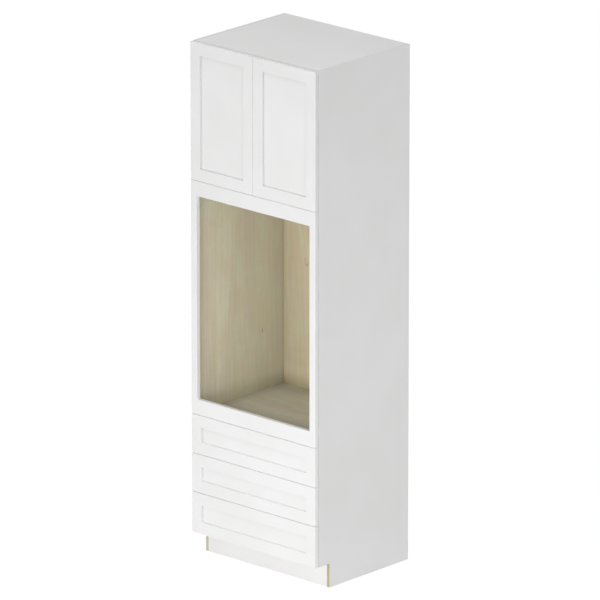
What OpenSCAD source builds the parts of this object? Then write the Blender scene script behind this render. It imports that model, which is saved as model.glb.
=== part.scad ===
// Tall oven housing unit: a plywood case with two doors over an oven bay and three drawers.
// Millimetres. +Z is up, the fronts face -Y, and the origin is on the floor under the middle.

/* [Case] */
// Overall width
case_w = 762; // [640:0.1:920]
// Overall height
case_h = 2438.4; // [2300:0.1:2950]
// Depth of the case without the fronts
case_d = 603.2; // [480:0.1:740]
// Thickness of the case panels
panel_t = 16; // [15:0.1:20]
// Thickness of the back panel
back_t = 5; // [3:0.1:8]
// How far the back panel enters the grooves in the sides
back_groove = 6; // [4:0.5:8]
// Thickness of the nailers and the kick boards
rail_t = 16; // [12:0.1:20]
// Height of each nailer
nailer_h = 100; // [70:1:140]
// Height of the oven deck's top above the lower edge of the oven surround
deck_over = 3.5; // [2:0.5:8]
// Height of the upper floor's top above the lower edge of the doors
floor_over = 11.5; // [10:0.5:14]
// Height of the cleats under the oven deck
cleat_h = 30; // [20:1:40]
// Thickness of the cleats under the oven deck
cleat_t = 11; // [8:0.5:12]

/* [Toe kick] */
// Height of the toe kick
toe_h = 114.3; // [80:0.1:150]
// Depth of the toe kick behind the case's front edge
toe_d = 72; // [50:1:90]

/* [Fronts] */
// Thickness of the doors, drawer fronts and oven surround
front_t = 19; // [18:0.1:23]
// Gap between the fronts and the case's front edge
front_gap = 3; // [2.5:0.1:4]
// Gap between neighbouring fronts
gap = 2; // [1.5:0.1:5]
// Distance from the outer face of a side to the edge of the fronts
side_reveal = 1.5; // [1:0.1:3]
// Distance from the top of the case to the doors
top_reveal = 1.5; // [1:0.1:10]
// Distance from the top of the toe kick to the bottom drawer's front
bottom_reveal = 1; // [0:0.1:10]
// Height of the bottom drawer's front
bottom_front_h = 195.5; // [185:0.1:240]
// Height of the middle drawer's front
middle_front_h = 183; // [180:0.1:240]
// Height of the top drawer's front
top_front_h = 185; // [182:0.1:240]
// Height of the oven surround
oven_front_h = 1105; // [700:1:1330]
// Width of the frame's upright pieces
stile_w = 57.15; // [57:0.05:76]
// Width of the frame's level pieces
rail_w = 57.15; // [40:0.05:70]
// Thickness of the centre panels
field_t = 6.4; // [5:0.1:8]
// Depth of the centre panels behind the frame's face
field_recess = 7; // [5:0.1:8]
// Depth of the grooves that hold the centre panels
groove_d = 10; // [8:0.5:12]
// Room that a centre panel has at the bottom of its groove
field_play = 0.8; // [0.5:0.1:0.9]

/* [Oven surround] */
// Width of the surround beside the cut-out
surround_side = 36; // [34:0.5:60]
// Height of the surround over the cut-out
surround_top = 69.5; // [50:0.5:200]
// Height of the surround under the cut-out
surround_bottom = 72.5; // [50:0.5:200]
// Height of each angle bracket
bracket_h = 40; // [30:1:60]
// Reach of each angle bracket along the side
bracket_leg = 20; // [18:0.5:24]
// Thickness of the angle brackets
bracket_t = 2; // [1.5:0.1:3]

/* [Shelf] */
// Thickness of the shelf
shelf_t = 16; // [15:0.1:20]
// Gap between the shelf's ends and the sides
shelf_gap = 0.8; // [0.5:0.1:2]
// Distance from the case's front edge to the shelf
shelf_setback = 25; // [20:1:60]
// Diameter of the shelf pin holes
shelf_pin_d = 5; // [4.5:0.1:6]
// Row of holes that the shelf's pins are in, counted from the lowest
shelf_row = 5; // [0:1:8]
// Distance between rows of holes
row_pitch = 32; // [25:1:40]
// Height of the first row over the floor, and the same room under the top
row_margin = 130; // [120:1:200]

/* [Hinges] */
// Distance from a door's end to the middle of a hinge
hinge_inset = 90; // [70:1:120]
// Diameter of the hinge cup
cup_d = 35; // [34:0.5:36]
// Distance from the door's edge to the cup
cup_edge = 3; // [3:0.1:3.5]
// Depth of the cup in the door
cup_depth = 13.5; // [13:0.1:14]
// Wall of the cup
cup_wall = 1; // [0.8:0.1:1.2]
// Distance from the door's edge to the hinge pin
pin_edge = 7.2; // [7:0.1:7.4]
// Depth of the hinge pin behind the door's back face
pin_depth = 8.7; // [8.5:0.1:9]
// Diameter of the hinge pin
pin_d = 2; // [1.6:0.1:2]
// Running clearance around the hinge pin
pin_play = 0.05; // [0.02:0.01:0.09]
// Thickness of the hinge arm
arm_t = 2; // [1.5:0.1:2.2]
// Height of the mounting plate's ridge over the side
plate_h = 9; // [8:0.1:10]

/* [Drawers] */
// Height of the drawer boxes
box_h = 127; // [100:1:140]
// Thickness of the drawer boxes' walls
box_t = 12.7; // [12:0.1:16]
// Thickness of the drawer bottoms
box_bottom_t = 6; // [4:0.1:8]
// Distance from a box's lower edge to the underside of its bottom
box_bottom_up = 10; // [8:0.5:14]
// Depth of the groove that holds the bottom
box_groove = 6; // [4:0.5:7]
// Distance from the lower edge of a drawer front to its box
box_lift = 30; // [24:1:34]
// Fingers in each corner joint of a box
box_fingers = 9; // [5:2:11]
// Thickness of a complete runner
runner_w = 12.7; // [12.4:0.1:13]
// Height of the runners
runner_h = 45; // [42:1:46]
// Distance from the lower edge of a box to the middle of its runners
runner_up = 45; // [34:1:60]
// Steps in which runners are sold
runner_step = 50; // [50:50:100]
// Distance from the case's front edge to the runners
runner_setback = 2; // [1:0.5:4]
// Room behind the runners
runner_rear = 20; // [15:1:30]

/* [Fixings] */
// Glue line between pieces of a frame
glue_line = 0.05; // [0.03:0.01:0.1]
// Diameter of the dowels
dowel_d = 8; // [6:1:8]
// Diameter of the cam locks
cam_d = 15; // [12:0.5:15]
// Depth of the cam locks
cam_h = 12.5; // [11.5:0.1:12.8]
// Distance from a panel's end to the middle of its cam locks
cam_in = 34; // [24:1:34]
// Distance from a panel's front and back edges to its cam locks
cam_from_edge = 60; // [45:1:90]
// Diameter of the wall fixing holes
wall_hole_d = 6; // [5:0.5:8]
// Distance between the wall fixing holes
wall_hole_pitch = 406.4; // [300:0.1:450]

/* [Hidden] */
$fn = 48;

// Colours
white = [0.93, 0.93, 0.92];
veneer = [0.87, 0.80, 0.70];
plywood = [0.80, 0.72, 0.55];
birch = [0.88, 0.80, 0.66];
steel = [0.74, 0.75, 0.77];
zinc = [0.62, 0.63, 0.65];
clear_rubber = [0.90, 0.90, 0.88];

// Cutting tools pass this far through a face
over = 1;
// Radial clearance of screws, dowels and bolts in their holes
fix_play = 0.05;

// Planes of the case
total_d = case_d + front_gap + front_t;
front_y = -total_d / 2;
front_back_y = front_y + front_t;
case_y = front_back_y + front_gap;
back_y = total_d / 2;
back_in_y = back_y - rail_t - back_t;
side_x = case_w / 2;
inner_x = side_x - panel_t;

// Heights of the fronts
front_w = case_w - 2 * side_reveal;
bottom_front_z = toe_h + bottom_reveal;
middle_front_z = bottom_front_z + bottom_front_h + gap;
top_front_z = middle_front_z + middle_front_h + gap;
oven_front_z = top_front_z + top_front_h + gap;
door_z = oven_front_z + oven_front_h + gap;
door_h = case_h - top_reveal - door_z;
door_w = (front_w - gap) / 2;

// Undersides of the level panels
deck_z = oven_front_z + deck_over - panel_t;
floor_z = door_z + floor_over - panel_t;
top_z = case_h - panel_t;
joint_zs = [toe_h, deck_z, floor_z, top_z];

// Nailers stand behind the back panel: under the top, under the upper floor, under the deck
nailer_zs = [top_z - nailer_h, floor_z - nailer_h, deck_z - nailer_h];

// Cams and dowels along each panel's end
cam_ys = [case_y + cam_from_edge, back_in_y - cam_from_edge];
dowel_ys = [case_y + cam_from_edge + row_pitch, back_in_y - cam_from_edge - row_pitch];
cam_play = 0.1;
bolt_d = 6;
bolt_bore_d = 7;
bolt_thread_d = 5;
bolt_thread_l = 11;
dowel_in_side = 10;
dowel_in_panel = 19;
dowel_room = 1;

// Shelf holes
shelf_rows = floor((top_z - floor_z - panel_t - 2 * row_margin) / row_pitch) + 1;
shelf_row_zs = [for (i = [0 : shelf_rows - 1]) floor_z + panel_t + row_margin + i * row_pitch];
shelf_ys = [case_y + 69, back_in_y - 60];
shelf_hole_l = 12;
shelf_pin_l = 11;
pin_block = [9, 12, 5];
shelf_z = shelf_row_zs[min(shelf_row, shelf_rows - 1)] + pin_block[2] / 2;

// Hinges, in a plan view: u from the side's outer face inwards, v from the case's front edge
hinge_zs = [door_z + hinge_inset, door_z + door_h - hinge_inset];
cup_u = side_reveal + cup_edge + cup_d / 2;
cup_bore_play = 0.05;
pin_uv = [side_reveal + pin_edge, -front_gap - pin_depth];
arm_u = panel_t + plate_h + arm_t / 2;
arm_l = 62;
neck_w = 10;
arm_w = 14;
eye_r = 2;
pin_l = 20;
neck_path = [pin_uv, pin_uv + [11.8, -2.1], [arm_u, 0], [arm_u, 4]];
plate_v = 37;
plate_pitch = 32;
arm_screw_v = 50;
flange_t = 1;
flange_d = 37;
cup_screw_u = cup_u + 6;
cup_screw_z = 24;

// Screws: diameter of the shank, its length, the head's diameter and thickness
plate_screw = [5, 12, 8.5, 2];
arm_screw = [4, 6, 7.5, 2];
cup_screw = [3.8, 11, 7, 1.5];
runner_screw = [5, 11, 8, 0.7];
box_screw = [3.8, 10, 7, 0.7];
bracket_screw = [4, 13, 8, 2];

// Drawer boxes and their runners
box_zs = [bottom_front_z + box_lift, middle_front_z + box_lift, top_front_z + box_lift];
box_w = 2 * (inner_x - runner_w);
runner_y = case_y + runner_setback;
runner_l = floor((back_in_y - runner_rear - runner_y) / runner_step) * runner_step;
box_y = front_back_y;
box_l = runner_y + runner_l - box_y;
box_back_y = box_y + box_l;
runner_screw_pitch = floor((runner_l - 70) / 2 / row_pitch) * row_pitch;
runner_screw_ys = [for (i = [0 : 2]) runner_y + 35 + i * runner_screw_pitch];
box_screw_ys = [runner_y + 100, runner_y + runner_l - 60];
runner_web = 1.5;
runner_lip = 3;
runner_play = 0.4;
// A front's screws stand close beside the box's sides. Where the front's recessed panel reaches in front of
// them, they are so short that they stop behind it
front_screw_head = [8, 2];
front_screw_d = 4;
front_screw_x = box_w / 2 - box_t - front_screw_head[0] / 2 - 0.25;
clear_of_field = front_screw_x - front_screw_d / 2 > front_w / 2 - stile_w + groove_d;
front_screw_l = clear_of_field ? 24 : box_t + front_t - field_recess - field_t - 0.3;
front_screw = [front_screw_d, front_screw_l, front_screw_head[0], front_screw_head[1]];
front_screw_ups = [box_bottom_up + box_bottom_t + 12, box_h - 20];
bottom_play = 0.5;

// Fixing of the oven surround
bracket_zs = [for (i = [0 : 2]) oven_front_z + 120 + i * (oven_front_h - 240) / 2];
bracket_reach = surround_side + side_reveal - panel_t - 1.6;
bracket_screw_u = panel_t + bracket_reach * 0.55;
bracket_screw_v = (bracket_leg + bracket_t) / 2 - 1;
bracket_screw_z = 12;
spacer_w = 12;

// Bumpers
bumper_d = 8;
bumper_t = front_gap - 0.2;
bumper_x = 30;
bumper_down = 20;

// ---- Shared shapes ----

// A piece made on the +X side, and its mirror image
module both_sides() {
    children();
    mirror([1, 0, 0]) children();
}

// A block between two corners
module block(low, high) {
    translate(low) cube(high - low);
}

// A round bar along +X from a point
module bar_x(p, d, l) {
    translate(p) rotate([0, 90, 0]) cylinder(d = d, h = l);
}

// A round bar along +Y from a point
module bar_y(p, d, l) {
    translate(p) rotate([-90, 0, 0]) cylinder(d = d, h = l);
}

// A screw whose head stands on the XY plane and whose shank goes down
module screw(size) {
    cylinder(d = size[2], h = size[3]);
    translate([0, 0, -size[1]]) cylinder(d = size[0] - 2 * fix_play, h = size[1] + size[3] / 2);
}

// A strip of constant thickness along a path, in plan
function unit(v) = v / norm(v);
function perp(v) = [-v[1], v[0]];
function strip_side(path, i, r) =
    let (
        n = len(path),
        before = perp(unit(path[max(i, 1)] - path[max(i, 1) - 1])),
        after = perp(unit(path[min(i, n - 2) + 1] - path[min(i, n - 2)])),
        middle = unit(before + after)
    )
    path[i] + middle * r / (middle * before);

module strip(path, t) {
    n = len(path);
    polygon(concat(
        [for (i = [0 : n - 1]) strip_side(path, i, t / 2)],
        [for (i = [n - 1 : -1 : 0]) strip_side(path, i, -t / 2)]
    ));
}

// Places a hinge piece drawn in plan on the left door (-1) or the right door (1)
module at_hinge(side, z) {
    translate([side * side_x, case_y, z]) mirror([side > 0 ? 1 : 0, 0, 0]) children();
}

module at_hinges(side) {
    for (z = hinge_zs) at_hinge(side, z) children();
}

// ---- Case ----

// Holes in a panel's ends, and cam pockets in its underside
module panel_joints(z) {
    both_sides() {
        for (y = cam_ys) {
            translate([inner_x - cam_in, y, z - over])
                cylinder(d = cam_d + 2 * cam_play, h = cam_h + cam_play + over);
            bar_x([inner_x - cam_in, y, z + panel_t / 2], bolt_bore_d, cam_in + over);
        }
        for (y = dowel_ys)
            dowel_hole(y, z + panel_t / 2);
    }
}

// Dowel hole in the end of a board that meets the +X side
module dowel_hole(y, z) {
    bar_x([inner_x - dowel_in_panel - dowel_room, y, z], dowel_d,
        dowel_in_panel + dowel_room + over);
}

module level_panel(z, deep_y) {
    difference() {
        block([-inner_x, case_y, z], [inner_x, deep_y, z + panel_t]);
        panel_joints(z);
    }
}

// Side on the +X side, seen by the fixings that go into its inner face
module side_panel() {
    difference() {
        block([inner_x, case_y, 0], [side_x, back_y, case_h]);
        block([inner_x - over, case_y - over, -over], [side_x + over, case_y + toe_d, toe_h]);
        block([inner_x - over, back_in_y, toe_h + panel_t], [inner_x + back_groove, back_in_y + back_t, top_z]);
        for (z = joint_zs) {
            for (y = cam_ys)
                bar_x([inner_x - over, y, z + panel_t / 2], bolt_thread_d, bolt_thread_l + over);
            for (y = dowel_ys)
                side_dowel_hole(y, z + panel_t / 2);
        }
        for (z = nailer_zs)
            side_dowel_hole(back_y - rail_t / 2, z + nailer_h / 2);
        for (y = kick_ys)
            side_dowel_hole(y, toe_h / 2);
        for (y = shelf_ys, z = shelf_row_zs)
            bar_x([inner_x - over, y, z], shelf_pin_d, shelf_hole_l + over);
        for (z = hinge_zs, s = [-1, 1])
            bar_x([inner_x - over, case_y + plate_v, z + s * plate_pitch / 2], plate_screw[0],
                plate_screw[1] - 2 + over);
        for (z = box_zs, y = runner_screw_ys)
            bar_x([inner_x - over, y, z + runner_up], runner_screw[0], runner_screw[1] + over);
        for (z = bracket_zs)
            bar_x([inner_x - over, case_y + bracket_screw_v, z - bracket_screw_z],
                bracket_screw[0], bracket_screw[1] - 1 + over);
    }
}

module side_dowel_hole(y, z) {
    bar_x([inner_x - over, y, z], dowel_d, dowel_in_side + dowel_room + over);
}

kick_ys = [case_y + toe_d + rail_t / 2, back_y - rail_t / 2];

module left_side_panel() {
    color(white) mirror([1, 0, 0]) side_panel();
}

module right_side_panel() {
    color(white) side_panel();
}

module top_panel() {
    color(white) level_panel(top_z, back_y);
}

module upper_floor() {
    color(veneer) level_panel(floor_z, back_in_y);
}

module oven_deck() {
    color(veneer) level_panel(deck_z, back_in_y);
}

module bottom_panel() {
    color(veneer) level_panel(toe_h, back_y);
}

module back_panel() {
    reach = inner_x + back_groove - bottom_play;
    color(veneer) difference() {
        block([-reach, back_in_y, toe_h + panel_t], [reach, back_in_y + back_t, top_z]);
        wall_holes();
    }
}

// Wall fixing holes through the nailers and the back panel
module wall_holes() {
    for (z = nailer_zs, s = [-1, 1])
        bar_y([s * wall_hole_pitch / 2, back_in_y - over, z + nailer_h / 2], wall_hole_d,
            back_y - back_in_y + 2 * over);
}

// A board on edge between the sides, with a dowel in the middle of each end
module cross_board(y, z, h) {
    difference() {
        block([-inner_x, y, z], [inner_x, y + rail_t, z + h]);
        both_sides() dowel_hole(y + rail_t / 2, z + h / 2);
    }
}

module toe_kick_board() {
    color(white) cross_board(case_y + toe_d, 0, toe_h);
}

module rear_kick_board() {
    color(plywood) cross_board(back_y - rail_t, 0, toe_h);
}

module nailers() {
    color(plywood) difference() {
        for (z = nailer_zs) cross_board(back_y - rail_t, z, nailer_h);
        wall_holes();
    }
}

module deck_cleats() {
    low = deck_z - cleat_h;
    color(plywood) {
        both_sides() block([inner_x - cleat_t, case_y + 20, low], [inner_x, back_in_y, deck_z]);
        block([cleat_t + glue_line - inner_x, back_in_y - cleat_t, low],
            [inner_x - cleat_t - glue_line, back_in_y, deck_z]);
    }
}

module cam_locks() {
    slot = bolt_d + 0.6;
    color(zinc) both_sides() for (z = joint_zs, y = cam_ys)
        translate([inner_x - cam_in, y, z]) difference() {
            cylinder(d = cam_d, h = cam_h);
            block([-slot / 2, -slot / 2, panel_t / 2 - slot / 2],
                [cam_d, slot / 2, panel_t / 2 + slot / 2]);
            for (a = [0, 90]) rotate(a)
                block([-4, -0.6, -over], [4, 0.6, 1.5]);
        }
}

module cam_bolts() {
    color(zinc) both_sides() for (z = joint_zs, y = cam_ys)
        translate([inner_x, y, z + panel_t / 2]) {
            bar_x([-cam_in, 0, 0], bolt_d, cam_in);
            bar_x([-over, 0, 0], bolt_thread_d - 2 * fix_play, over + bolt_thread_l - 0.5);
        }
}

module dowel(y, z) {
    bar_x([inner_x - dowel_in_panel, y, z], dowel_d - 2 * fix_play,
        dowel_in_panel + dowel_in_side);
}

module dowels() {
    color(birch) both_sides() {
        for (z = joint_zs, y = dowel_ys) dowel(y, z + panel_t / 2);
        for (z = nailer_zs) dowel(back_y - rail_t / 2, z + nailer_h / 2);
        for (y = kick_ys) dowel(y, toe_h / 2);
    }
}

// ---- Oven surround ----

module oven_surround() {
    color(white) difference() {
        block([-front_w / 2, front_y, oven_front_z],
            [front_w / 2, front_back_y, oven_front_z + oven_front_h]);
        block([surround_side - front_w / 2, front_y - over, oven_front_z + surround_bottom],
            [front_w / 2 - surround_side, front_back_y + over,
                oven_front_z + oven_front_h - surround_top]);
        both_sides() for (z = bracket_zs)
            bar_y([side_x - bracket_screw_u, front_back_y - bracket_screw[1] + 1, z + bracket_screw_z],
                bracket_screw[0], bracket_screw[1] + over);
    }
}

// Pads that hold the surround level with the doors
module surround_spacers() {
    color(clear_rubber) both_sides() for (z = bracket_zs)
        block([side_x - panel_t / 2 - spacer_w / 2, front_back_y, z - bracket_h / 2],
            [side_x - panel_t / 2 + spacer_w / 2, case_y, z + bracket_h / 2]);
}

// Steel angles from the surround's back to the sides' inner faces
module surround_brackets() {
    color(zinc) both_sides() for (z = bracket_zs)
        translate([inner_x, front_back_y, z]) difference() {
            union() {
                block([-bracket_t, 0, -bracket_h / 2], [0, front_gap + bracket_leg, bracket_h / 2]);
                block([-bracket_reach, 0, -bracket_h / 2], [0, bracket_t, bracket_h / 2]);
            }
            bar_x([-bracket_t - over, front_gap + bracket_screw_v, -bracket_screw_z],
                bracket_screw[0] + 0.4, bracket_t + 2 * over);
            bar_y([panel_t - bracket_screw_u, -over, bracket_screw_z], bracket_screw[0] + 0.4,
                bracket_t + 2 * over);
        }
}

module bracket_screws() {
    color(steel) both_sides() for (z = bracket_zs) {
        translate([inner_x - bracket_t, case_y + bracket_screw_v, z - bracket_screw_z])
            rotate([0, -90, 0]) screw(bracket_screw);
        translate([side_x - bracket_screw_u, front_back_y + bracket_t, z + bracket_screw_z])
            rotate([-90, 0, 0]) screw(bracket_screw);
    }
}

// ---- Shelf ----

module upper_shelf() {
    color(veneer) block([shelf_gap - inner_x, case_y + shelf_setback, shelf_z],
        [inner_x - shelf_gap, back_in_y - 2, shelf_z + shelf_t]);
}

module shelf_pins() {
    color(zinc) both_sides() for (y = shelf_ys)
        translate([inner_x, y, shelf_z - pin_block[2] / 2]) {
            bar_x([-over, 0, 0], shelf_pin_d - 2 * fix_play, over + shelf_pin_l);
            block([-pin_block[0], -pin_block[1] / 2, -pin_block[2] / 2],
                [0, pin_block[1] / 2, pin_block[2] / 2]);
        }
}

// ---- Hinges ----

module hinge_plate() {
    difference() {
        union() {
            block([panel_t, plate_v - 11, -22], [panel_t + 3, plate_v + 11, 22]);
            block([panel_t, plate_v - 19, -6.5], [panel_t + plate_h, plate_v + 25, 6.5]);
        }
        for (s = [-1, 1])
            bar_x([panel_t - over, plate_v, s * plate_pitch / 2], plate_screw[0] + 0.2, 3 + 2 * over);
        bar_x([panel_t + plate_h - arm_screw[1] + arm_t, arm_screw_v, 0], arm_screw[0], arm_screw[1] + over);
    }
}

module hinge_plates() {
    color(zinc) for (side = [-1, 1]) at_hinges(side) hinge_plate();
}

module hinge_arm() {
    difference() {
        union() {
            linear_extrude(neck_w, center = true) {
                strip(neck_path, arm_t);
                translate(pin_uv) circle(r = eye_r);
            }
            block([arm_u - arm_t / 2, 2, -arm_w / 2], [arm_u + arm_t / 2, arm_l, arm_w / 2]);
        }
        translate([pin_uv[0], pin_uv[1], -neck_w]) cylinder(d = pin_d + 2 * pin_play, h = 2 * neck_w);
        bar_x([arm_u - arm_t, arm_screw_v, 0], arm_screw[0] + 0.4, 2 * arm_t);
    }
}

module hinge_arms() {
    color(steel) for (side = [-1, 1]) at_hinges(side) hinge_arm();
}

module hinge_screws() {
    color(steel) for (side = [-1, 1]) at_hinges(side) {
        for (s = [-1, 1])
            translate([panel_t + 3, plate_v, s * plate_pitch / 2]) rotate([0, 90, 0]) screw(plate_screw);
        translate([panel_t + plate_h + arm_t, arm_screw_v, 0]) rotate([0, 90, 0]) screw(arm_screw);
    }
}

// A cup along -Y from the door's back face
module cup_shape(d, h) {
    translate([cup_u, -front_gap, 0]) rotate([90, 0, 0]) cylinder(d = d, h = h);
}

module hinge_cup() {
    difference() {
        union() {
            cup_shape(cup_d, cup_depth);
            translate([0, flange_t - front_gap, 0]) rotate([90, 0, 0]) linear_extrude(flange_t) {
                translate([cup_u, 0]) circle(d = flange_d);
                for (s = [-1, 1]) translate([cup_screw_u, s * cup_screw_z]) circle(d = 13);
                translate([cup_screw_u - 6.5, -cup_screw_z]) square([13, 2 * cup_screw_z]);
            }
        }
        translate([cup_u, flange_t + over - front_gap, 0]) rotate([90, 0, 0])
            cylinder(d = cup_d - 2 * cup_wall, h = flange_t + over + cup_depth - cup_wall);
        translate([pin_uv[0], pin_uv[1], -cup_d / 2]) cylinder(d = pin_d + 2 * pin_play, h = cup_d);
        for (s = [-1, 1])
            bar_y([cup_screw_u, -front_gap - over, s * cup_screw_z], cup_screw[0] + 0.4,
                flange_t + 2 * over);
    }
}

module hinge_cups(side) {
    color(steel) at_hinges(side) hinge_cup();
}

module hinge_pins(side) {
    color(zinc) at_hinges(side) translate([pin_uv[0], pin_uv[1], 0])
        cylinder(d = pin_d, h = pin_l, center = true);
}

module cup_screws(side) {
    color(steel) at_hinges(side) for (s = [-1, 1])
        translate([cup_screw_u, flange_t - front_gap, s * cup_screw_z]) rotate([-90, 0, 0])
            screw(cup_screw);
}

// Bores in a door for its hinge cups and their screws
module cup_bores(side) {
    at_hinges(side) {
        translate([cup_u, over - front_gap, 0]) rotate([90, 0, 0])
            cylinder(d = cup_d + 2 * cup_bore_play, h = over + cup_depth + 0.1);
        for (s = [-1, 1])
            bar_y([cup_screw_u, -front_gap - cup_screw[1], s * cup_screw_z], cup_screw[0],
                cup_screw[1] + over);
    }
}

// ---- Framed fronts ----
// Drawn with the lower left corner of the face at the origin

// Grooved upright on the left of a front
module stile(h) {
    difference() {
        cube([stile_w, front_t, h]);
        block([stile_w - groove_d, field_recess, -over], [stile_w + over, field_recess + field_t, h + over]);
    }
}

// Grooved level piece at the bottom of a front, with its tenons
module rail(w) {
    tongue = [stile_w - groove_d + glue_line, field_recess + glue_line];
    difference() {
        union() {
            block([stile_w + glue_line, 0, 0], [w - stile_w - glue_line, front_t, rail_w]);
            block([tongue[0], tongue[1], 0], [w - tongue[0], tongue[1] + field_t - 2 * glue_line, rail_w]);
        }
        block([0, field_recess, rail_w - groove_d], [w, field_recess + field_t, rail_w + over]);
    }
}

module frame(w, h) {
    stile(h);
    translate([w, 0, 0]) mirror([1, 0, 0]) stile(h);
    rail(w);
    translate([0, 0, h]) mirror([0, 0, 1]) rail(w);
}

module field(w, h) {
    reach = groove_d - field_play;
    block([stile_w - reach, field_recess, rail_w - reach],
        [w - stile_w + reach, field_recess + field_t, h - rail_w + reach]);
}

// ---- Doors ----

module at_door(side) {
    translate([side < 0 ? -front_w / 2 : gap / 2, front_y, door_z]) children();
}

module door_frame(side) {
    color(white) difference() {
        at_door(side) frame(door_w, door_h);
        cup_bores(side);
    }
}

module door_panel(side) {
    color(white) at_door(side) field(door_w, door_h);
}

// ---- Drawers ----
// Drawer 0 is the bottom one

front_zs = [bottom_front_z, middle_front_z, top_front_z];
front_hs = [bottom_front_h, middle_front_h, top_front_h];
finger_h = box_h / box_fingers;

module drawer_frame(i) {
    color(white) difference() {
        translate([-front_w / 2, front_y, front_zs[i]]) frame(front_w, front_hs[i]);
        both_sides() for (up = front_screw_ups)
            bar_y([front_screw_x, box_y + box_t - front_screw[1], box_zs[i] + up], front_screw[0],
                front_screw[1]);
    }
}

module drawer_panel(i) {
    color(white) translate([-front_w / 2, front_y, front_zs[i]]) field(front_w, front_hs[i]);
}

// Notches of the corner joints: odd ones in the sides, even ones in the ends
module finger_notches(first, x, y, size) {
    for (k = [first : 2 : box_fingers - 1])
        translate([x, y, k * finger_h]) cube([size[0], size[1], finger_h]);
}

module box_side(z) {
    out = box_w / 2;
    translate([0, 0, z]) difference() {
        block([out - box_t, box_y, 0], [out, box_back_y, box_h]);
        for (y = [box_y - over, box_back_y - box_t])
            finger_notches(1, out - box_t - over, y, [box_t + 2 * over, box_t + over]);
        block([out - box_t - over, box_y + box_t - box_groove, box_bottom_up],
            [out - box_t + box_groove, box_back_y - box_t + box_groove, box_bottom_up + box_bottom_t]);
        for (y = box_screw_ys)
            bar_x([out - box_screw[1] + runner_web, y, runner_up], box_screw[0], box_screw[1]);
    }
}

module box_sides(i) {
    color(birch) both_sides() box_side(box_zs[i]);
}

// One end of a box; its inner face looks along dir
module box_end(z, y, dir) {
    out = box_w / 2;
    inner_y = dir > 0 ? y + box_t : y;
    translate([0, 0, z]) difference() {
        block([-out, y, 0], [out, y + box_t, box_h]);
        both_sides() finger_notches(0, out - box_t, y - over, [box_t + over, box_t + 2 * over]);
        block([box_t - box_groove - out, inner_y - box_groove, box_bottom_up],
            [out - box_t + box_groove, inner_y + box_groove, box_bottom_up + box_bottom_t]);
        if (dir > 0)
            both_sides() for (up = front_screw_ups)
                bar_y([front_screw_x, y - over, up], front_screw[0] + 0.4, box_t + 2 * over);
    }
}

module box_ends(i) {
    color(birch) {
        box_end(box_zs[i], box_y, 1);
        box_end(box_zs[i], box_back_y - box_t, -1);
    }
}

module box_bottom(i) {
    reach_x = box_w / 2 - box_t + box_groove - bottom_play;
    reach_y = box_t - box_groove + bottom_play;
    z = box_zs[i] + box_bottom_up;
    color(birch) block([-reach_x, box_y + reach_y, z],
        [reach_x, box_back_y - reach_y, z + box_bottom_t]);
}

// A channel on the +X side from u0 to u1 off the side's inner face, with its web at one of them
module channel(z, u0, u1, half_h, web_u) {
    open_u = web_u == u0 ? [u0 + runner_web, u1 + over] : [u0 - over, u1 - runner_web];
    difference() {
        block([inner_x - u1, runner_y, z - half_h], [inner_x - u0, runner_y + runner_l, z + half_h]);
        block([inner_x - open_u[1], runner_y - over, z + runner_lip - half_h],
            [inner_x - open_u[0], runner_y + runner_l + over, z + half_h - runner_lip]);
    }
}

case_half_h = runner_h / 2;
link_half_h = case_half_h - runner_lip - runner_play;
box_half_h = link_half_h - runner_lip - runner_play;
link_u0 = runner_web + 1;

module case_runners() {
    color(zinc) both_sides() for (z = box_zs) difference() {
        channel(z + runner_up, 0, 9.5, case_half_h, 0);
        for (y = runner_screw_ys)
            bar_x([inner_x - runner_web - over, y, z + runner_up], runner_screw[0] + 0.2,
                runner_web + 2 * over);
    }
}

module case_runner_screws() {
    color(steel) both_sides() for (z = box_zs, y = runner_screw_ys)
        translate([inner_x - runner_web, y, z + runner_up]) rotate([0, -90, 0]) screw(runner_screw);
}

module link_runners(i) {
    color(steel) both_sides()
        channel(box_zs[i] + runner_up, link_u0, 10.5, link_half_h, link_u0);
}

module box_runners(i) {
    color(zinc) both_sides() difference() {
        channel(box_zs[i] + runner_up, link_u0 + 2, runner_w, box_half_h, runner_w);
        for (y = box_screw_ys)
            bar_x([inner_x - runner_w - over, y, box_zs[i] + runner_up], box_screw[0] + 0.2,
                runner_web + 2 * over);
    }
}

// Screws that hold a box's runners, and the ones through the box into its front
module drawer_screws(i) {
    color(steel) both_sides() {
        for (y = box_screw_ys)
            translate([inner_x - runner_w + runner_web, y, box_zs[i] + runner_up])
                rotate([0, 90, 0]) screw(box_screw);
        for (up = front_screw_ups)
            translate([front_screw_x, box_y + box_t, box_zs[i] + up]) rotate([-90, 0, 0])
                screw(front_screw);
    }
}

// Round pads on the case's front edges, which the doors and drawers close on
module front_bumpers() {
    door_bumper_zs = [door_z + floor_over / 2, top_z + panel_t / 2];
    color(clear_rubber) both_sides() {
        for (z = door_bumper_zs) bar_y([bumper_x, case_y - bumper_t, z], bumper_d, bumper_t);
        for (i = [0 : 2])
            bar_y([side_x - panel_t / 2, case_y - bumper_t, front_zs[i] + front_hs[i] - bumper_down],
                bumper_d, bumper_t);
    }
}

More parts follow.
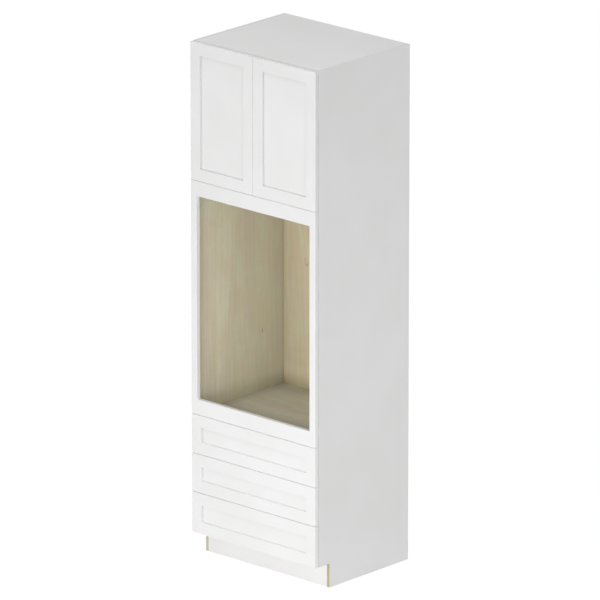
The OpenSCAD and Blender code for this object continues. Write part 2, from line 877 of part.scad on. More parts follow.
left_side_panel();
right_side_panel();
top_panel();
upper_floor();
oven_deck();
bottom_panel();
back_panel();
toe_kick_board();
rear_kick_board();
nailers();
deck_cleats();
oven_surround();
surround_spacers();
surround_brackets();
bracket_screws();
upper_shelf();
shelf_pins();
cam_locks();
cam_bolts();
dowels();
hinge_plates();
hinge_arms();
hinge_screws();
case_runners();
case_runner_screws();
front_bumpers();
door_frame(-1);  // left_door_frame
door_panel(-1);  // left_door_panel
hinge_cups(-1);  // left_hinge_cups
hinge_pins(-1);  // left_hinge_pins
cup_screws(-1);  // left_cup_screws
door_frame(1);  // right_door_frame
door_panel(1);  // right_door_panel
hinge_cups(1);  // right_hinge_cups
hinge_pins(1);  // right_hinge_pins
cup_screws(1);  // right_cup_screws
drawer_frame(2);  // top_drawer_frame
drawer_panel(2);  // top_drawer_panel
box_sides(2);  // top_box_sides
box_ends(2);  // top_box_ends
box_bottom(2);  // top_box_bottom
box_runners(2);  // top_box_runners
link_runners(2);  // top_link_runners
drawer_screws(2);  // top_drawer_screws
drawer_frame(1);  // middle_drawer_frame
drawer_panel(1);  // middle_drawer_panel
box_sides(1);  // middle_box_sides
box_ends(1);  // middle_box_ends
box_bottom(1);  // middle_box_bottom
box_runners(1);  // middle_box_runners
link_runners(1);  // middle_link_runners
drawer_screws(1);  // middle_drawer_screws
drawer_frame(0);  // bottom_drawer_frame
drawer_panel(0);  // bottom_drawer_panel
box_sides(0);  // bottom_box_sides
box_ends(0);  // bottom_box_ends
box_bottom(0);  // bottom_box_bottom
box_runners(0);  // bottom_box_runners
link_runners(0);  // bottom_link_runners
drawer_screws(0);  // bottom_drawer_screws
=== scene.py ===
import math

import bpy
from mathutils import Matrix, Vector


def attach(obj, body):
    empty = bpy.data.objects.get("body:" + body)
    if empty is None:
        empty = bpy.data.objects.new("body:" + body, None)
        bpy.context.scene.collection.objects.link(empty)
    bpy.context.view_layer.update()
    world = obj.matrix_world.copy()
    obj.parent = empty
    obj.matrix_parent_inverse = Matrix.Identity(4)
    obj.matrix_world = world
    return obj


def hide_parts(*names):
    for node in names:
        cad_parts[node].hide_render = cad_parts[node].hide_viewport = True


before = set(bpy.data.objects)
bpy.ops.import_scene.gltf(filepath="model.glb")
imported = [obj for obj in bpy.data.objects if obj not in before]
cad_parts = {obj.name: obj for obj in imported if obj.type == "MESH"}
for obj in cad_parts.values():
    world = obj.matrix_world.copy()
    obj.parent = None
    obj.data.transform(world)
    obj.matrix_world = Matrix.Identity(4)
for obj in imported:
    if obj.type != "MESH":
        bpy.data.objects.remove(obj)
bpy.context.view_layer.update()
bpy.ops.object.select_all(action="DESELECT")


# ---- Side panels ----
# Two upright plywood boards, notched at the front foot. They have white laminate outside and on their
# front and top edges, birch veneer inside, and a bare saw-cut edge round the notch and along the back.


class Wire:
    """One output of a shader node. Sums on wires add Math nodes to the same material."""

    def __init__(self, tree, socket):
        self.tree = tree
        self.socket = socket

    @classmethod
    def of(cls, tree, kind, settings, inputs, output=0):
        """Adds a node, sets it up, fills its inputs with numbers or wires, and returns one output."""
        made = tree.nodes.new(kind)
        for name, setting in settings.items():
            setattr(made, name, setting)
        for name, given in inputs.items():
            if isinstance(name, int):
                socket = made.inputs[name]
            else:
                socket = next(s for s in made.inputs if s.enabled and s.name == name)
            if isinstance(given, Wire):
                tree.links.new(given.socket, socket)
            else:
                socket.default_value = given
        shown = [s for s in made.outputs if s.enabled]
        if isinstance(output, str):
            return cls(tree, next(s for s in shown if s.name == output))
        return cls(tree, shown[output])

    def node(self, kind, settings, inputs, output=0):
        """Adds a node to this wire's own tree."""
        return Wire.of(self.tree, kind, settings, inputs, output)

    def math(self, operation, *numbers):
        """This wire, and up to two more numbers, through one Math node."""
        return self.node("ShaderNodeMath", {"operation": operation}, dict(enumerate([self, *numbers])))

    def __add__(self, other):
        return self.math("ADD", other)

    __radd__ = __add__

    def __mul__(self, other):
        return self.math("MULTIPLY", other)

    __rmul__ = __mul__

    def __sub__(self, other):
        return self.math("SUBTRACT", other)

    def __rsub__(self, other):
        return (self * -1.0).math("ADD", other)

    def __truediv__(self, other):
        return self.math("DIVIDE", other)

    def ramp(self, low, high):
        """0 where this wire is below low, 1 above high, and a smooth rise between them."""
        return self.node(
            "ShaderNodeMapRange",
            {"interpolation_type": "SMOOTHSTEP"},
            {"Value": self, "From Min": low, "From Max": high},
        )

    def axes(self):
        """The three parts of a vector."""
        parts = self.node("ShaderNodeSeparateXYZ", {}, {"Vector": self})
        return [Wire(self.tree, s) for s in parts.socket.node.outputs]

    def noise(self, detail, roughness=0.5, scale=1.0):
        """Noise at a point, about 0.5 in the middle."""
        return self.node(
            "ShaderNodeTexNoise",
            {"noise_dimensions": "3D"},
            {"Vector": self, "Scale": scale, "Detail": detail, "Roughness": roughness},
            "Fac",
        )


def point(x, y, z):
    """A vector of three numbers, at least one of them a wire."""
    wire = next(n for n in (x, y, z) if isinstance(n, Wire))
    return wire.node("ShaderNodeCombineXYZ", {}, {"X": x, "Y": y, "Z": z})


def colour_mix(share, first, second):
    """The first colour where share is 0, the second where it is 1. Each is three numbers or a wire."""
    first, second = [c if isinstance(c, Wire) else (*c, 1.0) for c in (first, second)]
    return share.node("ShaderNodeMix", {"data_type": "RGBA"}, {"Factor": share, "A": first, "B": second})


def shaded(colour, amount):
    """A colour made darker or lighter by a number or a wire, where 1 leaves it as it is."""
    grey = point(amount, amount, amount) if isinstance(amount, Wire) else (amount, amount, amount, 1.0)
    settings = {"data_type": "RGBA", "blend_type": "MULTIPLY"}
    return colour.node("ShaderNodeMix", settings, {"Factor": 1.0, "A": colour, "B": grey})


class Finish:
    """A material, with the place of each point on the object at rest and the way its face points."""

    def __init__(self, name):
        self.material = bpy.data.materials.new(name)
        self.material.use_nodes = True
        tree = self.material.node_tree
        self.shader = tree.nodes["Principled BSDF"]
        self.place = Wire.of(tree, "ShaderNodeTexCoord", {}, {}, "Object")
        self.x, self.y, self.z = self.place.axes()
        normal = Wire.of(tree, "ShaderNodeTexCoord", {}, {}, "Normal")
        self.facing = [part.math("ABSOLUTE") for part in normal.axes()]

    def set(self, **values):
        """Fills the shader's sockets, with _ for a space: Base_Color=a colour or Roughness=a wire."""
        for name, given in values.items():
            socket = self.shader.inputs[name.replace("_", " ")]
            if isinstance(given, Wire):
                given.tree.links.new(given.socket, socket)
            else:
                socket.default_value = given

    def bump(self, height, distance):
        """Raises the surface by up to distance, in metres, where height is 1."""
        self.set(Normal=height.node("ShaderNodeBump", {}, {"Height": height, "Distance": distance}))

    def dress(self, *nodes):
        """Gives this finish to CAD nodes."""
        for node in nodes:
            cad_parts[node].material_slots[0].material = self.material


WHITE = (0.86, 0.86, 0.86)
WHITE_IN_CLOUDS = (0.835, 0.835, 0.83)


def white_coat(finish, seed):
    """Colour, roughness and height of smooth white laminate or lacquer, with its faint ripple."""
    at = point(finish.x + seed, finish.y, finish.z)
    cloud = at.noise(2, scale=3.0)
    ripple = at.noise(3, scale=170.0)
    colour = colour_mix(cloud.ramp(0.3, 0.7), WHITE_IN_CLOUDS, WHITE)
    return colour, 0.36 + ripple * 0.10, ripple


LEAF_WIDTH = 0.188
LEAF_SEAM = -0.165
LEAF_SHIFT = 7.0
GOLDEN_SHARE = 0.618
KNOT_BROWN = (0.40, 0.21, 0.11)


def birch_veneer(across, along, seed, pale, pink, tan, contrast=1.0, knots=()):
    """Colour, roughness and height of birch veneer, laid in leaves side by side. pale, pink and tan are
    its tones. Each knot is its place across and along the grain and its two half widths."""
    leaf = ((across - LEAF_SEAM) / LEAF_WIDTH).math("FLOOR")
    chance = ((leaf + seed) * GOLDEN_SHARE).math("FRACT")
    moved = along + chance * LEAF_SHIFT

    def streaks(layer, per_metre_across, per_metre_along, detail, roughness=0.5):
        depth = chance * 9.0 + (seed + layer * 3.7)
        return point(across * per_metre_across, moved * per_metre_along, depth).noise(detail, roughness)

    swirl = 0.0
    spot = 0.0
    for knot_across, knot_along, half_width, half_height in knots:
        u = (across - knot_across) / half_width
        v = (along - knot_along) / half_height
        away = (u * u + v * v).math("SQRT")
        swirl = swirl + (1.0 - away.ramp(0.0, 6.0)) * 1.3
        spot = spot + (1.0 - away.ramp(0.35, 1.25))
    fine = streaks(0, 46.0, 1.5, 1) - 0.5
    warp = streaks(1, 5.0, 0.8, 3)
    ring = ((across * 95.0 + warp * 22.0 + swirl * 4.0) * 2.0).math("SINE")
    patch = streaks(2, 13.0, 6.0, 3, 0.62) + fine * 0.32 + ring * 0.02 + (chance - 0.5) * 0.08
    stain = streaks(3, 11.0, 5.0, 3, 0.65) + fine * 0.22 - ring * 0.015 + swirl * 0.05
    depth = streaks(4, 9.0, 1.3, 3, 0.6) - 0.5
    fibre = streaks(5, 420.0, 6.0, 2) - 0.5
    pore = streaks(6, 950.0, 40.0, 0).ramp(0.66, 0.80)
    curl = streaks(7, 9.0, 38.0, 2) - 0.5
    colour = colour_mix(patch.ramp(0.43, 0.61), pink, pale)
    colour = colour_mix(stain.ramp(0.47, 0.66) * 0.85, colour, tan)
    light = depth * 0.26 + fine * 0.06 + fibre * 0.06 + curl * 0.05 + ring * 0.012
    light = light + (chance - 0.5) * 0.07 - pore * 0.06
    colour = shaded(colour, light * contrast + 0.97)
    if knots:
        colour = colour_mix(spot.ramp(0.0, 1.0) * 0.85, colour, KNOT_BROWN)
    return colour, 0.42 + fibre * 0.2 + pore * 0.1, fibre - pore * 0.5


def corner_shade(distance, reach, depth):
    """1 away from a corner, and less by up to depth within reach of it, where little light gets in."""
    near = 1.0 - distance.math("ABSOLUTE").ramp(0.0, reach)
    return 1.0 - near * near * depth


PLIES = 11
LONG_GRAIN = (0.68, 0.60, 0.345)
END_GRAIN = (0.52, 0.42, 0.205)


def ply_edge(finish, through, board_start, board_thickness):
    """Colour of a sawn plywood edge: pale long-grain and darker end-grain plies between glue lines."""
    level = (through - board_start) * (PLIES / board_thickness)
    rough = (finish.place.noise(4, 0.7, scale=330.0) - 0.5) * 0.5
    which = ((level + rough * 0.5) * 0.5).math("FRACT")
    end_grain = which.ramp(0.46, 0.54) * (1.0 - which.ramp(0.95, 1.0))
    glue = 1.0 - (level.math("FRACT") - 0.5).math("ABSOLUTE").ramp(0.36, 0.47) * 0.22
    colour = colour_mix(end_grain, LONG_GRAIN, END_GRAIN)
    fuzz = finish.place.noise(2, 0.6, scale=900.0)
    return shaded(colour, glue * (0.86 + fuzz * 0.26))


# Edges nearer to a seam than this lie on it, in metres. Angles are in radians.
TOUCH = 0.0002
SAME_POINT = 0.00001
FLAT_ANGLE = 0.01
SHARP_ANGLE = 0.7


def eased(node, body, finish, width, opening=None):
    """Copies a CAD node as a piece with its edges eased by width, which shows in its place. The opening
    of a framed front is its bottom, top, left and right: the glued joints beside it stay tight."""
    piece = bpy.data.objects.new(f"{node}_eased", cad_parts[node].data.copy())
    bpy.context.scene.collection.objects.link(piece)
    bpy.ops.object.select_all(action="DESELECT")
    bpy.context.view_layer.objects.active = piece
    piece.select_set(True)
    bpy.ops.object.mode_set(mode="EDIT")
    bpy.ops.mesh.select_all(action="SELECT")
    bpy.ops.mesh.remove_doubles(threshold=SAME_POINT)
    bpy.ops.mesh.dissolve_limited(angle_limit=FLAT_ANGLE)
    for level in opening[:2] if opening else ():
        bpy.ops.mesh.select_all(action="SELECT")
        bpy.ops.mesh.bisect(plane_co=(0.0, 0.0, level), plane_no=(0.0, 0.0, 1.0))
    bpy.ops.mesh.select_mode(type="EDGE")
    bpy.ops.mesh.select_all(action="DESELECT")
    bpy.ops.mesh.edges_select_sharp(sharpness=SHARP_ANGLE)
    bpy.ops.object.mode_set(mode="OBJECT")
    weight = piece.data.attributes.new("bevel_weight_edge", "FLOAT", "EDGE")
    for line in piece.data.edges:
        ends = [piece.data.vertices[v].co for v in line.vertices]
        glued = False
        if opening:
            low, high, *seams = opening
            past_opening = all(e.z < low + TOUCH for e in ends) or all(e.z > high - TOUCH for e in ends)
            on_seam = any(all(abs(e.x - seam) < TOUCH for e in ends) for seam in seams)
            glued = past_opening and on_seam
        weight.data[line.index].value = float(line.select and not glued)
    ease = piece.modifiers.new("Ease", "BEVEL")
    ease.width = width
    ease.segments = 2
    ease.limit_method = "WEIGHT"
    bpy.ops.object.modifier_apply(modifier="Ease")
    piece.data.materials.clear()
    piece.data.materials.append(finish.material)
    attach(piece, body)
    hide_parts(node)


# Half the case's width, its boards' thickness, its front and top, and the foot and back of the oven bay.
SIDE_X = 0.381
PANEL_T = 0.016
CASE_Y = -0.2906
CASE_TOP = 2.4384
DECK_TOP = 0.6883
BACK_FACE = 0.2916
# The white laminate's thickness, and how near to a face a point still has that face's colour.
LAMINATE = 0.0008
ON_FACE = 0.0004
EASE = 0.0004
RELIEF = 0.00012
TAPE_PAINTED_LIGHT_WHITE = (0.95, 0.95, 0.945)
WALL_PALE = (0.81, 0.79, 0.635)
WALL_PINK = (0.82, 0.745, 0.61)
WALL_TAN = (0.79, 0.735, 0.555)
WALL_REAR = (0.74, 0.76, 0.68)
LEFT_EDGE_PAINTED_LIGHT = (0.95, 0.94, 0.82)
WALL_KNOTS = [(0.146, 0.973, 0.003, 0.013), (-0.03, 2.02, 0.003, 0.009)]

sides = Finish("White_laminate_over_birch_plywood")
white, white_rough, white_height = white_coat(sides, 0.0)
# Painted light: the white laminate is painted lighter towards the foot and the back of the side.
white = shaded(white, 1.042 - sides.z * 0.0165 + sides.y * 0.09)
grain, grain_rough, grain_height = birch_veneer(
    sides.y, sides.z, 3.0, WALL_PALE, WALL_PINK, WALL_TAN, knots=WALL_KNOTS
)
# Painted light makes the veneer greyer and lighter towards the back; painted shade darkens it behind the
# surround and in the corners.
grain = colour_mix(sides.y.ramp(-0.15, 0.29) * 0.32, grain, WALL_REAR)
grain = shaded(grain, sides.y.ramp(-0.25, 0.15) * 0.09 + 0.97)
behind_surround = 1.0 - sides.y.ramp(-0.272, -0.235)
grain = shaded(grain, 1.0 - behind_surround * 0.12)
over_deck = corner_shade(sides.z - DECK_TOP, 0.12, 0.12)
grain = shaded(grain, over_deck * corner_shade(sides.y - BACK_FACE, 0.04, 0.12))
out = sides.x.math("ABSOLUTE")
cut = 1.0 - sides.facing[0].ramp(0.4, 0.6)
edge = ply_edge(sides, out, SIDE_X - PANEL_T, PANEL_T)
# Painted light: the left side's sawn edge is painted paler, to lift the shade it stands in at the notch.
edge = colour_mix(sides.x.math("LESS_THAN", 0.0) * 0.28, edge, LEFT_EDGE_PAINTED_LIGHT)
at_front = (sides.y - CASE_Y).math("LESS_THAN", ON_FACE)
banded = at_front.math("MAXIMUM", sides.z.math("GREATER_THAN", CASE_TOP - ON_FACE))
white_face = (SIDE_X - out).math("LESS_THAN", LAMINATE).math("MAXIMUM", banded)
# Painted light: the front tape is whiter than the laminate, so the gap in front of it reads lit.
white = colour_mix(at_front * sides.facing[1].ramp(0.4, 0.6), white, TAPE_PAINTED_LIGHT_WHITE)
colour = colour_mix(cut, grain, edge)
sides.set(
    Base_Color=colour_mix(white_face, colour, white),
    Roughness=(grain_rough + cut * 0.2) * (1.0 - white_face) + white_rough * white_face,
)
sides.bump(grain_height * (1.0 - white_face) + white_height * white_face * 0.4, RELIEF)
for side in ("left", "right"):
    eased(f"{side}_side_panel", "case", sides, EASE)


# ---- Top panel ----
# A plywood board between the sides. It has the same white laminate on its upper face and front edge as
# the sides have, and the birch veneer underneath, where it is the ceiling behind the doors.

top = Finish("White_laminate_over_birch_level")
white, white_rough, white_height = white_coat(top, 5.0)
# Painted light: the top's white is painted lighter than the sides' white.
white = shaded(white, 1.12)
grain, grain_rough, grain_height = birch_veneer(top.y, top.x, 11.0, WALL_PALE, WALL_PINK, WALL_TAN)
white_face = top.z.math("GREATER_THAN", CASE_TOP - ON_FACE)
white_face = white_face.math("MAXIMUM", (top.y - CASE_Y).math("LESS_THAN", ON_FACE))
cut = 1.0 - top.facing[2].ramp(0.4, 0.6)
edge = ply_edge(top, top.z, CASE_TOP - PANEL_T, PANEL_T)
top.set(
    Base_Color=colour_mix(white_face, colour_mix(cut, grain, edge), white),
    Roughness=grain_rough * (1.0 - white_face) + white_rough * white_face,
)
top.bump(grain_height * (1.0 - white_face) + white_height * white_face * 0.4, RELIEF)
eased("top_panel", "case", top, EASE)


# ---- Upper floor, oven deck, bottom and shelf ----
# Level plywood boards with birch veneer on both faces, their grain from side to side, and a white tape
# on their front edges. The other edges are housed, or sawn plywood.

# Painted shade: the level boards' tones are darker than the walls' veneer, for the shade they lie in.
LEVEL_SHADED_PALE = (0.65, 0.645, 0.555)
LEVEL_SHADED_PINK = (0.65, 0.61, 0.535)
LEVEL_SHADED_TAN = (0.62, 0.585, 0.49)
PALE_PLY = (0.78, 0.66, 0.42)
DARK_PLY = (0.62, 0.47, 0.26)
PLY_WAVE = 688.0
SHELF_SETBACK = 0.025

level = Finish("Birch_veneer_level")
grain, grain_rough, grain_height = birch_veneer(
    level.y, level.x, 23.0, LEVEL_SHADED_PALE, LEVEL_SHADED_PINK, LEVEL_SHADED_TAN, contrast=1.6
)
# Painted shade in the corners where the level boards meet the side walls.
grain = shaded(grain, corner_shade(level.x.math("ABSOLUTE") - (SIDE_X - PANEL_T), 0.09, 0.13))
# The front of the oven deck is darker, in the shade of the surround.
deck = level.z.ramp(0.60, 0.65) * (1.0 - level.z.ramp(0.75, 0.80))
deck_front = (1.0 - level.y.ramp(-0.17, -0.03)) * deck
grain = shaded(grain, 1.0 - deck_front * 0.30)
white, white_rough, white_height = white_coat(level, 9.0)
cut = 1.0 - level.facing[2].ramp(0.4, 0.6)
shelf_front = CASE_Y + SHELF_SETBACK
taped = cut * (level.y - shelf_front).math("LESS_THAN", ON_FACE) * level.facing[1].ramp(0.4, 0.6)
fuzz = level.place.noise(3, 0.6, scale=500.0)
stripes = (level.z * PLY_WAVE).math("SINE").ramp(-0.3, 0.3)
edge = shaded(colour_mix(stripes, PALE_PLY, DARK_PLY), 0.88 + fuzz * 0.24)
level.set(
    Base_Color=colour_mix(taped, colour_mix(cut, grain, edge), white),
    Roughness=grain_rough * (1.0 - taped) + white_rough * taped,
)
level.bump(grain_height * (1.0 - taped), RELIEF)
for board in ("upper_floor", "oven_deck", "bottom_panel", "upper_shelf"):
    eased(board, "case", level, EASE)


# ---- Back panel ----
# A thin veneered sheet in grooves in the sides, its grain upright. Its good face, with a small curled
# knot, looks forward into the oven bay, and has painted light just over the deck.

BACK_PALE = (0.86, 0.805, 0.58)
BACK_PINK = (0.87, 0.77, 0.56)
BACK_TAN = (0.86, 0.75, 0.505)
BACK_KNOTS = [(0.11, 1.02, 0.003, 0.008)]
# The curled knot's colour, middle and half sizes.
CURL_BROWN = (0.60, 0.44, 0.27)
CURL_X, CURL_Z = -0.224, 1.298
CURL_WIDTH, CURL_HEIGHT = 0.010, 0.019
REAR_FACE_SHADE = 0.92

back = Finish("Birch_veneer_back_sheet")
grain, grain_rough, grain_height = birch_veneer(
    back.x, back.z, 41.0, BACK_PALE, BACK_PINK, BACK_TAN, knots=BACK_KNOTS
)
u = (back.x - CURL_X) / CURL_WIDTH
v = (back.z - CURL_Z) / CURL_HEIGHT
away = (u * u + v * v).math("SQRT")
curl = (1.0 - (away - 1.0).math("ABSOLUTE").ramp(0.05, 0.45)) * (1.0 - (v + u * 0.5).ramp(-0.1, 0.7))
halo = (1.0 - away.ramp(0.8, 2.4)) * (1.0 - curl)
grain = colour_mix(curl * 0.6, colour_mix(halo * 0.35, grain, BACK_PALE), CURL_BROWN)
# Painted light just over the deck on the good face, with faint painted shade in the corner at the deck.
over_deck = corner_shade(back.z - DECK_TOP, 0.05, 0.04) * (1.11 - back.z.ramp(0.70, 0.80) * 0.235)
good_face = back.y.math("LESS_THAN", BACK_FACE + 0.001)
grain = shaded(grain, good_face * (over_deck - REAR_FACE_SHADE) + REAR_FACE_SHADE)
back.set(Base_Color=grain, Roughness=grain_rough)
back.bump(grain_height, RELIEF)
back.dress("back_panel")


# ---- Toe kick board ----
# A white laminated board under the bottom, doweled between the side panels and set back behind their
# notches. Its foot is scuffed.

kick = Finish("White_kick_board")
white, white_rough, white_height = white_coat(kick, 14.0)
scuff = kick.place.noise(4, 0.7, scale=14.0).ramp(0.58, 0.75) * (1.0 - kick.z.ramp(0.0, 0.05))
# Painted light: the kick board's white is painted lighter, to lift the shade under the drawers.
kick.set(Base_Color=shaded(white, 1.155 - scuff * 0.03), Roughness=white_rough + scuff * 0.1)
kick.bump(white_height * 0.4, RELIEF)
eased("toe_kick_board", "case", kick, EASE)


# ---- Nailers, cleats and rear kick board ----
# Strips of bare plywood: the nailers take the screws into the wall, the cleats carry the oven deck, and
# the rear kick board stands under the bottom at the wall.

STRIP_PALE = (0.76, 0.64, 0.43)
STRIP_TAN = (0.68, 0.54, 0.34)
STRIP_EASE = 0.0005
STRIP_RELIEF = 0.00015

strips = Finish("Bare_birch_plywood")
streak = point(strips.x * 3.0, strips.y * 60.0, strips.z * 60.0).noise(4, 0.6)
fibre = point(strips.x * 12.0, strips.y * 500.0, strips.z * 500.0).noise(2)
colour = colour_mix(streak.ramp(0.3, 0.7), STRIP_PALE, STRIP_TAN)
strips.set(Base_Color=shaded(colour, 0.92 + fibre * 0.16), Roughness=0.62 + (fibre - 0.5) * 0.2)
strips.bump(fibre, STRIP_RELIEF)
for strip in ("nailers", "deck_cleats", "rear_kick_board"):
    eased(strip, "case", strips, STRIP_EASE)


# ---- Oven surround ----
# One board lacquered white all over, its cut edges too, with the opening that the oven is pushed in
# through.

# Painted light on the fronts' white: lightest at the floor, less so for each metre up.
PAINTED_LIGHT_AT_FLOOR = 1.11
PAINTED_LIGHT_LOSS_PER_METRE = 0.075


def front_coat(finish, seed):
    """The white coat of a front, with painted light making it a touch lighter at the foot of the unit
    than at its top.
    """
    white, rough, height = white_coat(finish, seed)
    return shaded(white, PAINTED_LIGHT_AT_FLOOR - finish.z * PAINTED_LIGHT_LOSS_PER_METRE), rough, height


FRONT_EASE = 0.00025
# Faces that look sideways nearer to the middle than this are the jambs of the opening.
JAMBS_WITHIN = 0.36
INNER_EDGE_PAINTED_LIGHT = (0.96, 0.97, 0.99)

surround = Finish("White_lacquer_surround")
white, white_rough, white_height = front_coat(surround, 21.0)
jamb = surround.facing[0] * surround.x.math("ABSOLUTE").math("LESS_THAN", JAMBS_WITHIN)
inner_edge = surround.facing[2].math("MAXIMUM", jamb)
# Painted light: the jambs, sill and head of the opening are painted whiter than the face.
white = colour_mix(inner_edge.ramp(0.4, 0.6), white, INNER_EDGE_PAINTED_LIGHT)
surround.set(Base_Color=white, Roughness=white_rough)
surround.bump(white_height * 0.5, RELIEF)
eased("oven_surround", "case", surround, FRONT_EASE)


# ---- Steel and zinc fittings ----
# Brackets, runners and hinge plates are pressed from sheet steel with a zinc coat, and cam locks are
# cast zinc. Screws, pins, cam bolts, hinge arms and cups are brighter steel.

ZINC_GREY = (0.62, 0.63, 0.65)
STEEL_GREY = (0.74, 0.75, 0.77)
DRAWN_LINES = 0.00003


def plated(name, colour, rough, seed):
    """A metal with the fine drawn lines and cloudy spangle of a zinc or nickel coat."""
    metal = Finish(name)
    lines = point(metal.x * 30.0, metal.y * 30.0 + seed, metal.z * 1400.0).noise(2)
    cloud = metal.place.noise(4, 0.6, scale=90.0)
    darker = [c * 0.82 for c in colour]
    metal.set(
        Base_Color=colour_mix(cloud.ramp(0.35, 0.65), colour, darker),
        Metallic=1.0,
        Roughness=rough + (lines - 0.5) * 0.18 + (cloud - 0.5) * 0.12,
    )
    metal.bump(lines, DRAWN_LINES)
    return metal


zinc = plated("Zinc_plate", ZINC_GREY, 0.36, 0.0)
zinc.dress("surround_brackets", "case_runners", "cam_locks", "hinge_plates")
steel = plated("Bright_steel", STEEL_GREY, 0.26, 3.0)
steel.dress(
    "bracket_screws", "shelf_pins", "cam_bolts", "hinge_arms", "hinge_screws", "case_runner_screws",
    "left_hinge_cups", "left_hinge_pins", "left_cup_screws",
    "right_hinge_cups", "right_hinge_pins", "right_cup_screws",
)


# ---- Dowels ----
# Short birch dowels in the joints of the case. They are turned, and fluted along their length to let the
# glue out.

DOWEL_PALE = (0.74, 0.60, 0.38)
DOWEL_TAN = (0.60, 0.45, 0.26)

turned = Finish("Fluted_birch_dowel")
grain_line = point(turned.x * 20.0, turned.y * 400.0, turned.z * 400.0).noise(3)
turned.set(Base_Color=colour_mix(grain_line.ramp(0.3, 0.7), DOWEL_PALE, DOWEL_TAN), Roughness=0.6)
turned.dress("dowels")


# ---- Doors ----
# Each door is a frame of two stiles and two rails round a recessed panel, all lacquered white. The panel
# has painted shade along the foot of the step round it.

# The width of stiles and rails, the outer edges of the fronts, and half the gap between the doors.
RAIL = 0.05715
FRONT_EDGE = 0.3795
DOOR_GAP = 0.001
DOOR_BOTTOM = 1.7918
DOOR_TOP = 2.4369
# Faces that look sideways nearer to the middle than this are those along the gap between the doors.
GAP_WITHIN = 0.01
GAP_PAINTED_LIGHT = (0.97, 0.97, 0.97)
DOOR_RAIL_SHADE = 0.055

lacquer = Finish("White_lacquer_frames")
white, white_rough, white_height = front_coat(lacquer, 33.0)
meeting_edge = lacquer.facing[0] * lacquer.x.math("ABSOLUTE").math("LESS_THAN", GAP_WITHIN)
gap_edge = lacquer.facing[2].math("MAXIMUM", meeting_edge)
# Painted light: the edges along the gaps are painted whiter, to lift the shade in the gaps.
white = colour_mix(gap_edge.ramp(0.4, 0.6), white, GAP_PAINTED_LIGHT)
lacquer.set(Base_Color=white, Roughness=white_rough)
lacquer.bump(white_height * 0.5, RELIEF)


def recessed_lacquer(name, seed, opening, rail_shade):
    """The lacquer of a recessed panel that shows in an opening: its bottom, top, left and right, with
    painted shade along its edges. rail_shade is how much painted shade darkens it along its upper edge."""
    bottom, top, left, right = opening
    panel = Finish(name)
    white, white_rough, white_height = front_coat(panel, seed)
    # Painted shade round the panel's edges, deepest along the left and the foot.
    across = corner_shade(panel.x - left, 0.015, 0.30) * corner_shade(panel.x - right, 0.016, 0.05)
    foot = corner_shade(panel.z - bottom, 0.010, 0.22)
    shade = across * foot * corner_shade(panel.z - top, 0.045, rail_shade)
    panel.set(Base_Color=shaded(white, shade), Roughness=white_rough)
    panel.bump(white_height * 0.5, RELIEF)
    return panel


for side, left, right in (
    ("left", -FRONT_EDGE + RAIL, -DOOR_GAP - RAIL),
    ("right", DOOR_GAP + RAIL, FRONT_EDGE - RAIL),
):
    opening = (DOOR_BOTTOM + RAIL, DOOR_TOP - RAIL, left, right)
    panel = recessed_lacquer(f"White_lacquer_{side}_door", 35.0 + left, opening, DOOR_RAIL_SHADE)
    panel.dress(f"{side}_door_panel")
    eased(f"{side}_door_frame", f"{side}_door", lacquer, FRONT_EASE, opening)


# ---- Drawers ----
# Three framed fronts like the doors, screwed to boxes of solid birch with finger joints. The boxes slide
# on steel runners.

DRAWER_HEIGHTS = {"bottom": (0.1153, 0.3108), "middle": (0.3128, 0.4958), "top": (0.4978, 0.6828)}
DRAWER_RAIL_SHADE = 0.03
BOX_PALE = (0.78, 0.68, 0.49)
BOX_TAN = (0.70, 0.58, 0.39)
BOX_RELIEF = 0.0001

for height, (bottom, top_edge) in DRAWER_HEIGHTS.items():
    opening = (bottom + RAIL, top_edge - RAIL, RAIL - FRONT_EDGE, FRONT_EDGE - RAIL)
    panel = recessed_lacquer(f"White_lacquer_{height}_drawer", 39.0 + bottom, opening, DRAWER_RAIL_SHADE)
    panel.dress(f"{height}_drawer_panel")
    eased(f"{height}_drawer_frame", f"{height}_drawer", lacquer, FRONT_EASE, opening)

box_wood = Finish("Lacquered_birch_box")
streak = point(box_wood.x * 6.0, box_wood.y * 6.0, box_wood.z * 70.0).noise(4, 0.6)
fibre = point(box_wood.x * 40.0, box_wood.y * 40.0, box_wood.z * 900.0).noise(2)
colour = colour_mix(streak.ramp(0.3, 0.7), BOX_PALE, BOX_TAN)
box_wood.set(Base_Color=shaded(colour, 0.94 + fibre * 0.12), Roughness=0.40 + (fibre - 0.5) * 0.15)
box_wood.bump(fibre, BOX_RELIEF)
for height in ("top", "middle", "bottom"):
    for board in ("sides", "ends"):
        eased(f"{height}_box_{board}", f"{height}_drawer", box_wood, EASE)
    box_wood.dress(f"{height}_box_bottom")
    zinc.dress(f"{height}_box_runners", f"{height}_link_runners")
    steel.dress(f"{height}_drawer_screws")


# ---- Bumpers and spacers ----
# Small clear rubber pads on the case's front edges, which the doors and drawers close on, and the pads
# that hold the oven surround off the case.

RUBBER_PALE = (0.86, 0.87, 0.86)
RUBBER_GREY = (0.80, 0.81, 0.80)

pads = Finish("Clear_rubber")
cloud = pads.place.noise(2, scale=300.0)
pads.set(
    Base_Color=colour_mix(cloud, RUBBER_PALE, RUBBER_GREY),
    Roughness=0.3 + cloud * 0.1,
    Transmission_Weight=0.6,
    IOR=1.45,
)
pads.dress("front_bumpers", "surround_spacers")


# ---- Floor and light ----
# A white floor that keeps a faint shadow, white all round for the camera and for reflections, and soft
# light.

# The floor's own light, the share of it in what the camera sees, and how strong the world's light is.
FLOOR_GLOW = 1.12
GLOW_SHARE = 0.85
WORLD_STRENGTH = 0.444


def seen_by_camera(tree):
    """1 on rays from the camera, and on those that reach it off a gloss or through a clear pad."""
    camera, gloss, clear = [
        Wire.of(tree, "ShaderNodeLightPath", {}, {}, f"Is {kind} Ray")
        for kind in ("Camera", "Glossy", "Transmission")
    ]
    return camera.math("MAXIMUM", gloss).math("MAXIMUM", clear)


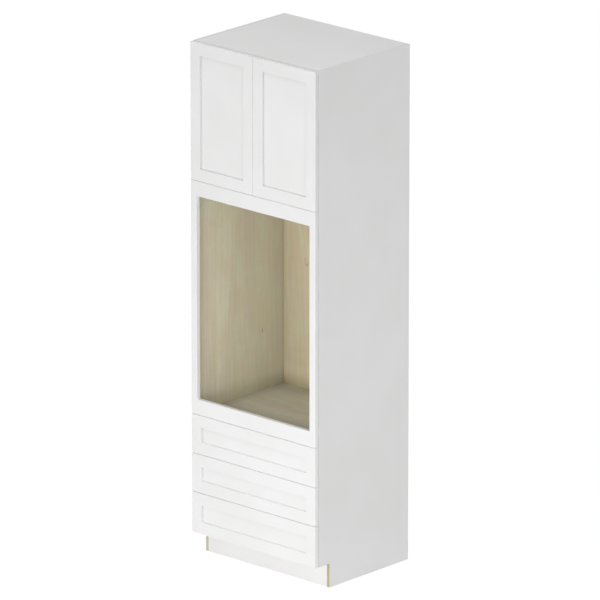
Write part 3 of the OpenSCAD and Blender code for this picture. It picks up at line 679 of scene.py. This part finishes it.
bpy.ops.mesh.primitive_plane_add(size=60.0, location=(0.0, 0.0, 0.0))
floor = bpy.context.object
floor.name = "studio_floor"
floor_finish = Finish("Studio_floor")
floor_finish.set(Base_Color=(0.9, 0.9, 0.9, 1.0), Roughness=1.0)
floor_finish.shader.inputs["Specular IOR Level"].default_value = 0.0
tree = floor_finish.material.node_tree
seen = seen_by_camera(tree)
glow = seen.node("ShaderNodeEmission", {}, {"Color": (1.0, 1.0, 1.0, 1.0), "Strength": FLOOR_GLOW})
lit = Wire(tree, floor_finish.shader.outputs["BSDF"])
mixed = seen.node("ShaderNodeMixShader", {}, {0: seen * GLOW_SHARE, 1: lit, 2: glow})
tree.links.new(mixed.socket, tree.nodes["Material Output"].inputs["Surface"])
floor.data.materials.append(floor_finish.material)

world = bpy.data.worlds.new("Studio")
bpy.context.scene.world = world
world.use_nodes = True
tree = world.node_tree
background = tree.nodes["Background"]
background.inputs["Color"].default_value = (1.0, 1.0, 1.0, 1.0)
strength = seen_by_camera(tree) * (1.0 - WORLD_STRENGTH) + WORLD_STRENGTH
tree.links.new(strength.socket, background.inputs["Strength"])


def soft_lamp(name, place, aim, width, height, watts):
    """A lamp with a flat rectangular front at a place, turned to a point."""
    bpy.ops.object.light_add(type="AREA", location=place)
    lamp = bpy.context.object
    lamp.name = name
    lamp.data.shape = "RECTANGLE"
    lamp.data.size = width
    lamp.data.size_y = height
    lamp.data.energy = watts
    away_from_aim = Vector(place) - Vector(aim)
    lamp.rotation_euler = away_from_aim.to_track_quat("Z", "Y").to_euler()


soft_lamp("right_lamp", (4.6, -2.2, 1.2), (0.0, 0.0, 1.0), 2.5, 2.5, 55.0)
soft_lamp("front_lamp", (0.6, -5.6, 0.95), (0.0, -0.3, 0.9), 4.0, 0.6, 93.0)
soft_lamp("high_lamp", (0.5, -2.4, 5.5), (0.0, -0.1, 1.2), 2.5, 2.5, 41.0)


# ---- Camera ----
# A long lens from the front right and a little above, fitted to the cabinet's corners and edges in the
# photograph.

AZIMUTH = math.radians(42.41)
ELEVATION = math.radians(17.53)
DISTANCE = 41.32
AIM = (-0.0055, 0.0066, 1.2266)
LENS = 548.8

bpy.ops.object.camera_add()
camera = bpy.context.object
camera.name = "photo_camera"
camera.data.lens = LENS
camera.data.sensor_width = 36.0
camera.data.clip_end = 200.0
camera.location = (
    AIM[0] + DISTANCE * math.sin(AZIMUTH) * math.cos(ELEVATION),
    AIM[1] - DISTANCE * math.cos(AZIMUTH) * math.cos(ELEVATION),
    AIM[2] + DISTANCE * math.sin(ELEVATION),
)
camera.rotation_euler = (math.pi / 2 - ELEVATION, 0.0, AZIMUTH)
bpy.context.scene.camera = camera
bpy.context.scene.view_settings.view_transform = "Standard"
